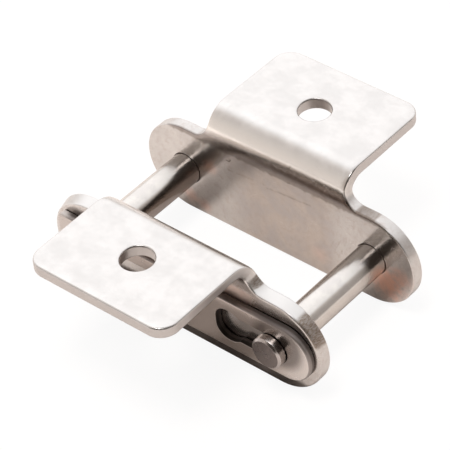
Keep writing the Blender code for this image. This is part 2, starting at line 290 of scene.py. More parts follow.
def arc(x, v, radius, start, end, outward=1):
    """Points of an arc, each with the direction that points out of the metal."""
    steps = max(1, ceil(abs(end - start) / ARC_STEP - ARC_SLACK))
    points = []
    for step in range(steps + 1):
        angle = start + (end - start) * step / steps
        direction = Vector((cos(angle), sin(angle)))
        points.append((Vector((x, v)) + direction * radius, direction * outward))
    return points


def round_hole(x, v, radius):
    return arc(x, v, radius, 2 * pi, 0, -1)[:-1]


def mirrored(points, flip):
    """The same points on the other side of a middle line, in the opposite order."""
    return [(point * flip, direction * flip) for point, direction in reversed(points)]


def edge_profile(rounding, roll, drop, lean):
    """An edge from the face to its wall: inset, depth, and the normal's parts along and off the face.

    A gentle slope of width roll comes first and falls by drop. The rounding goes on from it, and all of
    it is moved in by lean.
    """
    tilt = atan2(2 * drop, roll)
    profile = []
    for step in range(ROLL_STEPS):
        share = step / ROLL_STEPS
        angle = atan2(2 * drop * share, roll)
        inset = lean + rounding * (1 - sin(tilt)) + roll * (1 - share)
        profile.append((inset, drop * share ** 2, sin(angle), cos(angle)))
    for step in range(EDGE_STEPS + 1):
        angle = tilt + (pi / 2 - tilt) * step / EDGE_STEPS
        depth = drop + rounding * (cos(tilt) - cos(angle))
        profile.append((lean + rounding * (1 - sin(angle)), depth, sin(angle), cos(angle)))
    return profile


def sheet_body(loops, thickness):
    """A flat sheet with rounded edges, from z = 0 to its thickness.

    Each loop comes with the profiles of its lower and upper edges at every point. Every corner carries
    its normal, and a rim value from 0 on the faces to 1 on the edge's wall.
    """
    body = bmesh.new()
    normal_layer = body.verts.layers.float_vector.new("smooth_normal")
    rim_layer = body.verts.layers.float.new("rim")
    rim_edges = {0: [], 1: []}
    for loop, profiles in loops:
        columns = []
        for (point, direction), (low_edge, high_edge) in zip(loop, profiles):
            column = []
            lower = [(inset, depth, sideways, -off) for inset, depth, sideways, off in low_edge]
            upper = [
                (inset, thickness - depth, sideways, off)
                for inset, depth, sideways, off in reversed(high_edge)
            ]
            for inset, level, sideways, upwards in lower + upper:
                vertex = body.verts.new((*(point - direction * inset), level))
                vertex[normal_layer] = (*(direction * sideways), upwards)
                vertex[rim_layer] = sideways
                column.append(vertex)
            columns.append(column)
        for here, following in zip(columns, columns[1:] + columns[:1]):
            for index in range(len(here) - 1):
                body.faces.new((here[index], following[index], following[index + 1], here[index + 1]))
            rim_edges[0].append(body.edges.get((here[0], following[0])))
            rim_edges[1].append(body.edges.get((here[-1], following[-1])))
    for side in (0, 1):
        bmesh.ops.triangle_fill(body, use_beauty=True, use_dissolve=False, edges=rim_edges[side])
    bmesh.ops.recalc_face_normals(body, faces=body.faces)
    return body


def finished_mesh(name, body):
    """Turns a body into a mesh that is shaded by the normals that its corners carry."""
    normal_layer = body.verts.layers.float_vector["smooth_normal"]
    body.verts.ensure_lookup_table()
    normals = [vertex[normal_layer].normalized() for vertex in body.verts]
    body.verts.layers.float_vector.remove(normal_layer)
    mesh = bpy.data.meshes.new(name)
    body.to_mesh(mesh)
    body.free()
    mesh.shade_smooth()
    mesh.normals_split_custom_set_from_vertices(normals)
    return mesh


def keep_blank(body):
    """Stores each corner's place on the blank, for the materials."""
    layer = body.verts.layers.float_vector.new("blank")
    for vertex in body.verts:
        vertex[layer] = vertex.co


def bend_turn(run):
    """The angle by which the sheet has turned, and its curvature, this far along from the bend's start."""
    if run < BEND_ONSET:
        return run ** 2 / (2 * BEND_ONSET * MIDDLE_BEND_RADIUS), run / (BEND_ONSET * MIDDLE_BEND_RADIUS)
    return (run - BEND_ONSET / 2) / MIDDLE_BEND_RADIUS, 1 / MIDDLE_BEND_RADIUS


def bend_line():
    """The sheet's middle through the bend, as places (y, z) from the bend's start on the chain's side."""
    place = Vector((PLATE_THICKNESS / 2, 0.0))
    places = [place.copy()]
    stretch = BEND_LENGTH / BEND_TABLE
    for index in range(BEND_TABLE):
        angle = bend_turn((index + 0.5) * stretch)[0]
        place += Vector((sin(angle), cos(angle))) * stretch
        places.append(place.copy())
    return places


BEND_LINE = bend_line()
BEND_START = TAB_TOP - PLATE_THICKNESS / 2 - BEND_LINE[-1].y
TAB_START = BEND_START + BEND_LENGTH
TAB_OFFSET = TAB_START - INNER_FACE - BEND_LINE[-1].x


def plate_outline():
    """The flat blank of a side plate: x along the chain, v up the sheet from the pin axes."""
    half_tab = TAB_WIDTH / 2
    tab_end = TAB_OFFSET + TAB_REACH
    shoulder = (half_tab + SHOULDER_RADIUS, END_RADIUS + SHOULDER_RADIUS)
    corner = (half_tab - TAB_CORNER_RADIUS, tab_end - TAB_CORNER_RADIUS)
    right = arc(HALF_PITCH, 0, END_RADIUS, -pi / 2, pi / 2)
    right += arc(*shoulder, SHOULDER_RADIUS, -pi / 2, -pi, -1)
    right += arc(*corner, TAB_CORNER_RADIUS, 0, pi / 2)
    return right + mirrored(right, Vector((-1, 1)))


def fold(point, normal):
    """Takes a point of the flat blank (x, v, depth) and its normal to the folded plate."""
    x, v, depth = point
    run = min(max(v - BEND_START, 0.0), BEND_LENGTH)
    angle, curvature = bend_turn(run)
    across = Vector((0, sin(angle), cos(angle)))
    inward = Vector((0, cos(angle), -sin(angle)))
    entry = min(int(run / BEND_LENGTH * BEND_TABLE), BEND_TABLE - 1)
    share = run / BEND_LENGTH * BEND_TABLE - entry
    middle = BEND_LINE[entry].lerp(BEND_LINE[entry + 1], share)
    off_middle = depth - PLATE_THICKNESS / 2
    place = Vector((x, middle.x, BEND_START + middle.y))
    place += inward * off_middle + across * (v - BEND_START - run)
    stretch = 1 - curvature * off_middle if 0 < run < BEND_LENGTH else 1.0
    turned = Vector((normal.x, 0, 0)) + across * normal.y / stretch + inward * normal.z
    return place, turned


def plate_edges(point, outer_edges):
    """The profiles of a plate's edges on the chain's side and outside, at a point of its outline."""
    foot, end, top = [Vector(edge) for edge in outer_edges]
    level = min(max(point.y / END_RADIUS, -1.0), 1.0)
    outer = end.lerp(top if level > 0 else foot, abs(level))
    share = min(max((point.y - BEND_START) / BEND_LENGTH, 0.0), 1.0)
    chain_side = Vector(CRISP_EDGE).lerp(Vector(TAB_TOP_EDGE), share)
    return edge_profile(*chain_side), edge_profile(*outer.lerp(Vector(TAB_UNDERSIDE_EDGE), share))


def plate_mesh(name, outer_edges):
    """A side plate with its inner face at y = 0, its tab towards +Y and the pin axes at z = 0."""
    bore = PIN_RADIUS + BORE_CLEARANCE
    outline = plate_outline()
    loops = [(outline, [plate_edges(point, outer_edges) for point, direction in outline])]
    holes = [(round_hole(x, 0, bore), BORE_EDGE) for x in (-HALF_PITCH, HALF_PITCH)]
    holes.append((round_hole(0, TAB_OFFSET + TAB_HOLE_OFFSET, TAB_HOLE_RADIUS), BOLT_HOLE_EDGE))
    for hole, edge in holes:
        profile = edge_profile(*edge)
        loops.append((hole, [(profile, profile)] * len(hole)))
    body = sheet_body(loops, PLATE_THICKNESS)
    for step in range(BEND_STEPS + 1):
        crease = (0, BEND_START + BEND_LENGTH * step / BEND_STEPS, 0)
        everything = list(body.verts) + list(body.edges) + list(body.faces)
        bmesh.ops.bisect_plane(
            body, geom=everything, dist=BEND_LINE_SNAP, plane_co=crease, plane_no=(0, 1, 0)
        )
    keep_blank(body)
    normal_layer = body.verts.layers.float_vector["smooth_normal"]
    for vertex in body.verts:
        vertex.co, vertex[normal_layer] = fold(vertex.co, vertex[normal_layer])
    bmesh.ops.reverse_faces(body, faces=body.faces)
    return finished_mesh(name, body)


def cusp(lobe_x, lobe_radius, half_width, towards):
    """The rounded corner where a round opening runs into a narrower slot, above the middle line."""
    level = half_width + CUSP_RADIUS
    reach = sqrt((lobe_radius + CUSP_RADIUS) ** 2 - level ** 2)
    x = lobe_x + towards * reach
    return arc(x, level, CUSP_RADIUS, atan2(-level, -towards * reach), -pi / 2)


def lobe_angle(lobe_radius, half_width):
    """How far from the middle line a round opening of this radius meets its slot's rounded corner."""
    return asin((half_width + CUSP_RADIUS) / (lobe_radius + CUSP_RADIUS))


def keyhole():
    """The opening at the closed end: wide enough for the pin's head, then a slot that fits the groove."""
    slot_end = HALF_PITCH + SLOT_PLAY - CLIP_FIT
    corner_radius = KEYHOLE_RADIUS - KEYHOLE_FLAT / 2
    upper = arc(KEYHOLE_MIDDLE - KEYHOLE_STRETCH, KEYHOLE_FLAT / 2, corner_radius, pi, pi / 2, -1)
    upper += arc(KEYHOLE_MIDDLE, 0, KEYHOLE_RADIUS, pi / 2, lobe_angle(KEYHOLE_RADIUS, CLIP_HOLD_RADIUS), -1)
    upper += cusp(KEYHOLE_MIDDLE, KEYHOLE_RADIUS, CLIP_HOLD_RADIUS, 1)[1:]
    end = arc(slot_end, 0, CLIP_HOLD_RADIUS, pi / 2, -pi / 2, -1)
    return upper + end + mirrored(upper, Vector((1, -1)))


def slit_ramp():
    """From the top of the left groove's opening up to the slit's edge, above the middle line."""
    turn = acos(1 - SLIT_STEP / (2 * SLIT_RAMP_RADIUS))
    ramp_end = 2 * SLIT_RAMP_RADIUS * sin(turn) - HALF_PITCH
    first_level = CLIP_HOLD_RADIUS + SLIT_RAMP_RADIUS
    second_level = HALF_SLIT - SLIT_RAMP_RADIUS
    rise = arc(-HALF_PITCH, first_level, SLIT_RAMP_RADIUS, -pi / 2, turn - pi / 2)
    level_out = arc(ramp_end, second_level, SLIT_RAMP_RADIUS, pi / 2 + turn, pi / 2, -1)
    return rise + level_out[1:]


def clip_outline():
    """The clip's outer edge, which runs in at the split end, round the left groove and along the slit."""
    half_mouth = CLIP_HOLD_RADIUS - MOUTH_GRIP
    closed_x = CLIP_HIGH.x - CLIP_HALF_HEIGHT
    tip_x = CLIP_LOW.x
    blunt_end = KEYHOLE_MIDDLE - KEYHOLE_STRETCH - KEYHOLE_RADIUS + KEYHOLE_FLAT / 2
    slit_end = blunt_end - WEB_WIDTH - HALF_SLIT
    tip_radius = CLIP_HALF_HEIGHT - half_mouth - LIP_RADIUS - TIP_FLAT
    tip_outer = arc(tip_x + tip_radius, CLIP_HALF_HEIGHT - tip_radius, tip_radius, pi / 2, pi)
    tip_inner = arc(tip_x + LIP_RADIUS, half_mouth + LIP_RADIUS, LIP_RADIUS, pi, 3 * pi / 2)
    entry = list(reversed(cusp(-HALF_PITCH, CLIP_HOLD_RADIUS, half_mouth, -1)))
    mouth_angle = lobe_angle(CLIP_HOLD_RADIUS, half_mouth)
    hold = arc(-HALF_PITCH, 0, CLIP_HOLD_RADIUS, pi - mouth_angle, pi / 2, -1)
    upper = tip_outer + tip_inner + entry + hold[1:-1] + slit_ramp()
    closed = arc(closed_x, 0, CLIP_HALF_HEIGHT, -pi / 2, pi / 2)
    slit = arc(slit_end, 0, HALF_SLIT, pi / 2, -pi / 2, -1)
    return closed + upper + slit + mirrored(upper, Vector((1, -1)))


def clip_edge(point):
    """The profile of the clip's outer face at a point of its outline: crisp along the slit."""
    outside = 1.0 if point.x > HALF_PITCH else (abs(point.y) - HALF_SLIT) / (CLIP_HALF_HEIGHT - HALF_SLIT)
    return edge_profile(*Vector(CLIP_INNER_EDGE).lerp(Vector(CLIP_OUTER_EDGE), min(max(outside, 0.0), 1.0)))


def clip_mesh():
    """The clip with its inner face at y = 0 and its outer face at -Y."""
    crisp = edge_profile(*CLIP_INNER_EDGE)
    outline, opening = clip_outline(), keyhole()
    loops = [(outline, [(crisp, clip_edge(point)) for point, direction in outline])]
    loops.append((opening, [(crisp, crisp)] * len(opening)))
    body = sheet_body(loops, CLIP_THICKNESS)
    keep_blank(body)
    upright = Matrix.Rotation(pi / 2, 3, "X")
    normal_layer = body.verts.layers.float_vector["smooth_normal"]
    for vertex in body.verts:
        vertex.co = upright @ vertex.co
        vertex[normal_layer] = upright @ vertex[normal_layer]
    return finished_mesh("clip_shape", body)


def filleted(corners):
    """A profile of (y, radius, rounding) corners as points with normals, for a turned body.

    Each straight stretch gives its two ends, and each corner gives its own small arc between them.
    """
    points = []
    for index, (y, radius, rounding) in enumerate(corners):
        here = Vector((y, radius))
        if index in (0, len(corners) - 1):
            neighbour = Vector(corners[1 if index == 0 else index - 1][:2])
            along = (neighbour - here) if index == 0 else (here - neighbour)
            points.append((here, Vector((-along.y, along.x)).normalized()))
            continue
        back = (Vector(corners[index - 1][:2]) - here).normalized()
        ahead = (Vector(corners[index + 1][:2]) - here).normalized()
        first = Vector((back.y, -back.x))
        last = Vector((-ahead.y, ahead.x))
        half = back.angle(ahead) / 2
        setback = rounding / abs(sin(half)) * cos(half)
        centre = here + (back + ahead).normalized() * rounding / abs(sin(half))
        hollow = first.dot(here + back * setback - centre) < 0
        for step in range(FILLET_STEPS + 1):
            normal = first.slerp(last, step / FILLET_STEPS)
            points.append((centre + normal * rounding * (-1 if hollow else 1), normal))
    return points


def turned_mesh(name, corners):
    """A closed body turned about the Y axis, with a point on the axis at each end."""
    profile = filleted(corners)
    body = bmesh.new()
    normal_layer = body.verts.layers.float_vector.new("smooth_normal")
    rim_layer = body.verts.layers.float.new("rim")
    rings = []
    for place, normal in profile:
        sides = TURNED_SIDES if place.y > 0 else 1
        ring = []
        for side in range(sides):
            angle = 2 * pi * side / TURNED_SIDES
            vertex = body.verts.new((place.y * cos(angle), place.x, place.y * sin(angle)))
            vertex[normal_layer] = (normal.y * cos(angle), normal.x, normal.y * sin(angle))
            vertex[rim_layer] = abs(normal.x)
            ring.append(vertex)
        rings.append(ring)
    for first, second in zip(rings, rings[1:]):
        for side in range(TURNED_SIDES):
            following = (side + 1) % TURNED_SIDES
            corners_here = [first[side % len(first)], first[following % len(first)],
                            second[following % len(second)], second[side % len(second)]]
            body.faces.new(list(dict.fromkeys(corners_here)))
    keep_blank(body)
    bmesh.ops.recalc_face_normals(body, faces=body.faces)
    return finished_mesh(name, body)


def pin_mesh():
    """A pin about its own axis, from its free end at -Y to its riveted end at +Y."""
    groove_outer = FREE_END + HEAD_LENGTH
    groove_inner = -INNER_FACE - PLATE_THICKNESS
    rivet_seat = RIVETED_END - RIVET_HEIGHT
    edge = PIN_CORNER_ROUND
    return turned_mesh("pin_shape", [
        (FREE_END, 0.0, 0.0),
        (FREE_END, PIN_RADIUS - HEAD_CHAMFER, edge),
        (FREE_END + HEAD_CHAMFER, PIN_RADIUS, edge),
        (groove_outer, PIN_RADIUS, edge),
        (groove_outer, GROOVE_RADIUS, edge),
        (groove_inner, GROOVE_RADIUS, edge),
        (groove_inner, PIN_RADIUS, edge),
        (rivet_seat, PIN_RADIUS, edge),
        (rivet_seat, RIVET_RADIUS, edge),
        (RIVETED_END - RIVET_CHAMFER, RIVET_RADIUS, edge),
        (RIVETED_END, RIVET_RADIUS - RIVET_CHAMFER, edge),
        (RIVETED_END, DIMPLE_RADIUS, edge),
        (RIVETED_END - DIMPLE_DEPTH, 0.0, 0.0),
    ])


class Graph:
    """Adds nodes to a node tree. Values are numbers, tuples or sockets of other nodes."""

    def __init__(self, tree):
        self.tree = tree

    def add(self, kind, **settings):
        node = self.tree.nodes.new("ShaderNode" + kind)
        for name, value in settings.items():
            setattr(node, name, value)
        return node

    def feed(self, socket, value):
        if isinstance(value, bpy.types.NodeSocket):
            self.tree.links.new(value, socket)
        else:
            socket.default_value = value

    def math(self, operation, first, second, clamp=False):
        node = self.add("Math", operation=operation, use_clamp=clamp)
        self.feed(node.inputs[0], first)
        self.feed(node.inputs[1], second)
        return node.outputs[0]

    def sum(self, first, *others):
        for other in others:
            first = self.math("ADD", first, other)
        return first

    def product(self, first, *others):
        for other in others:
            first = self.math("MULTIPLY", first, other)
        return first

    def vector(self, operation, first, second=(0.0, 0.0, 0.0)):
        node = self.add("VectorMath", operation=operation)
        self.feed(node.inputs[0], first)
        self.feed(node.inputs[1], second)
        return node.outputs["Value" if operation in ("DOT_PRODUCT", "LENGTH", "DISTANCE") else "Vector"]

    def scaled(self, vector, factor):
        node = self.add("VectorMath", operation="SCALE")
        self.feed(node.inputs[0], vector)
        self.feed(node.inputs["Scale"], factor)
        return node.outputs["Vector"]

    def facing(self, direction, target):
        """The cosine of the angle between a unit direction and the target's."""
        return self.vector("DOT_PRODUCT", direction, Vector(target).normalized())

    def parts(self, vector):
        node = self.add("SeparateXYZ")
        self.feed(node.inputs[0], vector)
        return node.outputs

    def step(self, value, low, high, start=0.0, end=1.0):
        """Goes smoothly from start to end as the value goes from low to high."""
        node = self.add("MapRange", interpolation_type="SMOOTHSTEP")
        for socket, number in zip(node.inputs[:5], (value, low, high, start, end)):
            self.feed(socket, number)
        return node.outputs[0]

    def between(self, value, rise, fall):
        """1 between two spans of the value and 0 outside them. Each goes from its 0 end to its 1 end."""
        return self.product(self.step(value, *rise), self.step(value, *fall))

    def mix(self, share, first, second):
        """A blend of two numbers: the first at share 0 and the second at share 1."""
        node = self.add("Mix", data_type="FLOAT")
        for socket, value in zip((node.inputs[0], node.inputs[2], node.inputs[3]), (share, first, second)):
            self.feed(socket, value)
        return node.outputs[0]

    def blend(self, share, first, second):
        """A blend of two colours: the first at share 0 and the second at share 1."""
        node = self.add("Mix", data_type="RGBA")
        for socket, value in zip((node.inputs[0], node.inputs[6], node.inputs[7]), (share, first, second)):
            self.feed(socket, value)
        return node.outputs[2]

    def noise(self, place, scale, detail, roughness):
        node = self.add("TexNoise")
        self.feed(node.inputs["Vector"], place)
        self.feed(node.inputs["Scale"], scale)
        self.feed(node.inputs["Detail"], detail)
        self.feed(node.inputs["Roughness"], roughness)
        return node.outputs["Fac"]

    def turned(self, place, angle):
        node = self.add("VectorRotate", rotation_type="Z_AXIS")
        self.feed(node.inputs["Vector"], place)
        self.feed(node.inputs["Angle"], angle)
        return node.outputs["Vector"]


class Steel(Graph):
    """A steel material whose places come from the piece's own blank, in millimetres.

    Its rim value goes from 0 on the faces to 1 on the wall of an edge, or on the end of a pin.
    """

    def __init__(self, name, mottle, roughness, seed=0.0):
        self.material = bpy.data.materials.new(name)
        self.material.use_nodes = True
        super().__init__(self.material.node_tree)
        self.shader = self.tree.nodes["Principled BSDF"]
        self.shader.inputs["Metallic"].default_value = 1.0
        blank = self.add("Attribute", attribute_name="blank")
        self.place = self.scaled(blank.outputs["Vector"], MILLIMETRES)
        self.x, self.y, self.z = self.parts(self.place)
        self.rim = self.add("Attribute", attribute_name="rim").outputs["Fac"]
        self.shifted = self.vector("ADD", self.place, (seed, seed / 2, 0.0))
        self.mottle = self.noise(self.shifted, *mottle)
        self.roughness = self.mix(self.step(self.mottle, 0.3, 0.7), *roughness)
        self.relief = 0.0

    def blend_tones(self, share, tones):
        """Starts the colour as a blend of two tones, which the tints then cover."""
        self.colour = self.blend(share, *tones)

    def tint(self, share, colour):
        """Covers the colour so far with another one, as far as the share says."""
        self.colour = self.blend(share, self.colour, colour)

    def roughen(self, amount):
        self.roughness = self.sum(self.roughness, amount)

    def raise_by(self, height, amount):
        """Adds a height, in millimetres, to the surface's relief."""
        self.relief = self.sum(self.relief, self.product(height, amount))

    def hairlines(self, angle, spacing, length, keep):
        """Straight lines, where the noise that is stretched along the angle is above keep."""
        along = self.turned(self.place, angle)
        stretched = self.vector("MULTIPLY", along, (1.0 / length, 1.0 / spacing, 1.0 / length))
        return self.step(self.noise(stretched, *HAIRLINE_NOISE), keep, keep + HAIRLINE_SOFTNESS)

    def finish(self):
        self.feed(self.shader.inputs["Base Color"], self.colour)
        self.feed(self.shader.inputs["Roughness"], self.roughness)
        bump = self.add("Bump")
        self.feed(bump.inputs["Height"], self.relief)
        bump.inputs["Distance"].default_value = 1.0 / MILLIMETRES
        self.feed(self.shader.inputs["Normal"], bump.outputs["Normal"])
        return self.material


class PlateSteel(Steel):
    """Tumbled sheet steel. Spans of x along the chain, v up the sheet and depth are in millimetres.

    The depth is 0 on the chain's side and on top of the tab.
    """

    def __init__(self, name, seed):
        super().__init__(name, PLATE_MOTTLE, PLATE_ROUGHNESS, seed)
        self.v = self.y
        self.depth = self.z
        self.flat = self.vector("MULTIPLY", self.place, (1.0, 1.0, 0.0))
        self.blotch = self.noise(self.shifted, *PLATE_BLOTCH)
        self.grain = self.noise(self.shifted, *PLATE_GRAIN)
        self.hatch = self.noise(self.vector("MULTIPLY", self.shifted, HATCH_STRETCH), *LINE_NOISE)
        self.chain_side = self.step(self.depth, 0.5, 0.2)
        self.blend_tones(self.step(self.mottle, 0.35, 0.65), PLATE_TONES)
        self.dull_wall()
        self.speckle()
        self.paint_bend_highlight()
        self.work_surface()

    def dull_wall(self):
        """A duller, cloudy wall, fading out near both pins, where the lighter wall is painted light."""
        clouds = self.noise(self.shifted, *WALL_CLOUDS)
        dull = self.blend(self.step(clouds, 0.38, 0.62), *WALL_TONES)
        below_bend = self.step(self.v, 9.0, 7.0)
        between_pins = self.between(self.x, (-12.0, -4.0), (14.0, 9.0))
        self.tint(self.product(below_bend, between_pins, self.chain_side), dull)

    def speckle(self):
        """Small darker spots, which are fainter on the tab."""
        coarse = self.step(self.blotch, 0.45, 0.70, 0.0, 0.30)
        fine = self.step(self.grain, 0.62, 0.38, 0.0, 0.25)
        fading = self.step(self.v, 8.5, 13.0, 1.0, 0.15)
        self.tint(self.product(self.sum(coarse, fine), fading), SPECKLE_COLOUR)

    def paint_bend_highlight(self):
        """A brighter band through the start of the bend: painted highlight."""
        bend_start = self.between(self.v, (9.6, 10.6), (13.0, 10.8))
        self.tint(self.product(bend_start, self.chain_side), BEND_HIGHLIGHT_COLOUR)

    def work_surface(self):
        """Long waves, tumbled pits, hatched edges and hairlines."""
        self.raise_by(self.noise(self.shifted, *PLATE_WAVES), 0.10)
        self.raise_by(self.blotch, 0.010)
        self.raise_by(self.grain, 0.0032)
        self.raise_by(self.product(self.hatch, self.rim), 0.010)
        self.roughen(self.step(self.grain, 0.4, 0.7, 0.0, 0.06))
        self.roughen(self.step(self.rim, 0.3, 0.9, 0.0, 0.16))
        for hairline in HAIRLINES:
            lines = self.hairlines(*hairline)
            self.raise_by(lines, -0.002)
            self.roughen(self.product(lines, 0.05))

    def stain(self, x, v, radius, strength):
        """A ragged, rusty spot on the chain's side."""
        distance = self.vector("DISTANCE", self.flat, (x, v, 0.0))
        ragged = self.sum(distance, self.product(self.blotch, radius))
        spot = self.step(ragged, radius * 1.6, radius * 0.6, 0.0, strength)
        self.tint(self.product(spot, self.chain_side), STAIN_COLOUR)

    def band_of_press_mark_and_shade(self):
        """A dark band under the bend, ending in a wavy line: partly a tool mark, partly a painted dark
        reflection.
        """
        wave = self.product(self.math("SUBTRACT", self.blotch, 0.5), 0.9)
        level = self.sum(self.v, wave)
        band = self.between(level, (7.35, 7.85), (9.9, 9.1))
        core = self.product(self.step(level, 8.2, 9.1), self.step(self.x, -14.0, 12.0, 0.0, 0.3))
        self.tint(self.product(band, self.chain_side, self.sum(core, 0.53)), BAND_COLOUR)

    def shade_tab_edge(self):
        """A darker cut edge along the tab: painted shade."""
        on_tab = self.step(self.v, 11.0, 13.0)
        self.tint(self.product(self.step(self.rim, 0.6, 0.95), on_tab, 0.6), TAB_EDGE_SHADE_COLOUR)

    def wear_and_paint_light_outside(self, wear_and_light):
        """Painted light and shade on the outer face, with a brown strip under the tab."""
        outside = self.step(self.depth, 1.2, 2.0, 0.0, wear_and_light)
        # Painted highlight on the upper edge of the round ends
        round_end = self.between(self.v, (2.5, 4.5), (10.5, 9.0))
        on_edge = self.step(self.rim, 0.5, 0.9, 0.0, wear_and_light)
        self.tint(self.product(round_end, on_edge), EDGE_HIGHLIGHT_COLOUR)
        # Painted shade at the foot of the outer face
        self.tint(self.product(self.step(self.v, -5.6, -6.6), outside), PAINTED_SHADE_COLOUR)
        # A brown strip under the tab, also lightened: painted light
        under_tab = self.between(self.x, (-17.0, -12.0), (14.0, 10.0))
        browned_and_lit = self.product(self.between(self.v, (4.0, 5.5), (8.3, 7.0)), under_tab, outside)
        self.tint(browned_and_lit, BROWNED_AND_LIT_COLOUR)
        self.roughen(self.product(browned_and_lit, 0.16))
        off_edge = self.step(self.rim, 0.4, 0.1)
        shaded = self.product(self.between(self.v, (7.0, 8.3), (12.0, 10.0)), off_edge, outside, 0.4)
        self.tint(shaded, SHADED_COLOUR)

    def stroke(self, start, end, width, core):
        """A straight mark on the blank: full out to a share of its width, and nothing at its width."""
        start = Vector((*start, 0.0))
        reach = Vector((*end, 0.0)) - start
        offset = self.vector("SUBTRACT", self.flat, start)
        along = self.math("DIVIDE", self.vector("DOT_PRODUCT", offset, reach), reach.length_squared, True)
        nearest = self.scaled(reach, along)
        return self.step(self.vector("DISTANCE", offset, nearest), width, width * core)

    def scratch(self, start, end, width, strength):
        """A single broken scratch on the chain's side or on top of the tab."""
        broken = self.step(self.blotch, 0.38, 0.55)
        mark = self.product(self.stroke(start, end, width, 0.3), self.chain_side, broken)
        self.raise_by(mark, -0.02)
        self.tint(self.product(mark, strength), SCRATCH_COLOUR)

    def patch_edge(self, start, end, width, strength):
        """A dark, hatched patch on the edge, for shear marks and stains and for one painted dark reflection.
        """
        patch = self.product(self.stroke(start, end, width, 0.55), self.step(self.rim, 0.35, 0.6))
        hatched = self.step(self.hatch, 0.38, 0.6, strength, strength * 0.6)
        self.tint(self.product(patch, hatched), PATCH_COLOUR)
        self.roughen(self.product(patch, 0.12))


def riveted_plate_steel():
    """The far plate, with stains and a dark band, partly painted shade, on the chain's side."""
    steel = PlateSteel("riveted_plate_steel", 0.0)
    for stain in RIVETED_STAINS:
        steel.stain(*stain)
    steel.band_of_press_mark_and_shade()
    steel.shade_tab_edge()
    for scratch in RIVETED_SCRATCHES:
        steel.scratch(*scratch)
    for patch in RIVETED_PATCHES:
        steel.patch_edge(*patch)
    return steel.finish()


def cover_plate_steel():
    """The near plate: worn, with painted light and shade on its outer face and a painted dark reflection."""
    steel = PlateSteel("cover_plate_steel", COVER_SEED)
    steel.shade_tab_edge()
    steel.wear_and_paint_light_outside(COVER_WEAR_AND_LIGHT)
    for patch in COVER_PATCHES:
        steel.patch_edge(*patch)
    return steel.finish()


def pin_steel(name, side_shade):
    """Ground bar with fine rings and soot, painted light on the free end, and painted shade on ends and
    side.
    """
    steel = Steel(name, PIN_MOTTLE, PIN_ROUGHNESS)
    radius = steel.vector("LENGTH", steel.vector("MULTIPLY", steel.place, (1.0, 0.0, 1.0)))
    rings = steel.add("CombineXYZ")
    for socket, value, stretch in zip(rings.inputs, (steel.y, radius), RING_STRETCH):
        steel.feed(socket, steel.product(value, stretch))
    steel.raise_by(steel.noise(rings.outputs[0], *LINE_NOISE), 0.0012)
    steel.raise_by(steel.noise(steel.place, *FINE_GRAIN), 0.0015)
    steel.raise_by(steel.mottle, 0.004)
    steel.roughen(steel.product(steel.rim, 0.08))

    steel.blend_tones(steel.step(steel.mottle, 0.35, 0.65), PIN_TONES)
    # Painted light: a lighter free end
    steel.tint(steel.step(steel.y, -14.0, -15.0), FREE_END_LIGHT_COLOUR)
    # Painted shade: darker chamfers and end faces
    steel.tint(steel.step(steel.rim, 0.15, 0.6, 0.0, 0.55), CHAMFER_SHADE_COLOUR)
    steel.tint(steel.step(steel.rim, 0.75, 0.95, 0.0, 0.8), END_FACE_SHADE_COLOUR)
    # Soot towards the far end, which is also painted shade near the far plate
    ragged = steel.sum(steel.y, steel.product(steel.math("SUBTRACT", steel.mottle, 0.5), 6.0))
    steel.tint(steel.step(ragged, 2.0, 9.5, 0.0, 0.55), SOOT_AND_SHADE_COLOUR)
    # Painted shade low on the pin's right side
    low_right = steel.sum(steel.vector("DOT_PRODUCT", steel.place, LOW_RIGHT), steel.mottle)
    steel.tint(steel.step(low_right, 0.7, 1.7, 0.0, side_shade), SIDE_SHADE_COLOUR)
    return steel.finish()


def clip_steel():
    """Polished spring steel with fine lines along the clip, and painted light and shade."""
    steel = Steel("polished_clip_steel", CLIP_MOTTLE, CLIP_ROUGHNESS)
    lines = steel.vector("MULTIPLY", steel.place, CLIP_LINE_STRETCH)
    steel.raise_by(steel.noise(lines, *LINE_NOISE), 0.0008)
    steel.raise_by(steel.noise(steel.place, *FINE_GRAIN), 0.0006)
    steel.raise_by(steel.mottle, 0.006)
    steel.roughen(steel.product(steel.rim, 0.35))

    # Painted light and shade: darker left half, lighter ends, and a dark reflection round the right pin
    ragged = steel.sum(steel.x, steel.product(steel.mottle, 4.0))
    steel.blend_tones(steel.step(ragged, 2.0, 11.0), CLIP_TONES)
    closed_end = steel.step(ragged, 20.0, 27.0)
    split_end = steel.step(ragged, -14.0, -19.0, 0.0, 0.5)
    steel.tint(steel.sum(closed_end, split_end), CLIP_END_LIGHT_COLOUR)
    # Painted dark reflection of the pin, round the right pin
    beside_pin = (HALF_PITCH * MILLIMETRES + 1.2, 1.7, 1.0)
    pin_distance = steel.vector("DISTANCE", steel.place, beside_pin)
    steel.tint(steel.step(pin_distance, 5.8, 3.6, 0.0, 0.75), PAINTED_SHADE_COLOUR)

    # Painted shade on the edges, but not the prong tips: the rounding, the keyhole and the crevice at the
    # plate
    off_tips = steel.step(steel.x, -23.5, -22.0)
    steel.tint(steel.product(steel.step(steel.rim, 0.2, 0.6), off_tips, 0.75), CLIP_RIM_SHADE_COLOUR)
    keyhole_distance = steel.vector("DISTANCE", steel.place, (KEYHOLE_MIDDLE * MILLIMETRES, 0.0, 1.0))
    in_keyhole = steel.step(keyhole_distance, 6.0, 4.5)
    steel.tint(steel.product(in_keyhole, steel.step(steel.rim, 0.4, 0.8), 0.93), IN_KEYHOLE_SHADE_COLOUR)
    at_plate = steel.step(steel.z, 0.8, 0.5, 0.0, 0.85)
    steel.tint(steel.product(steel.step(steel.rim, 0.88, 0.99), at_plate, off_tips), PAINTED_SHADE_COLOUR)
    return steel.finish()


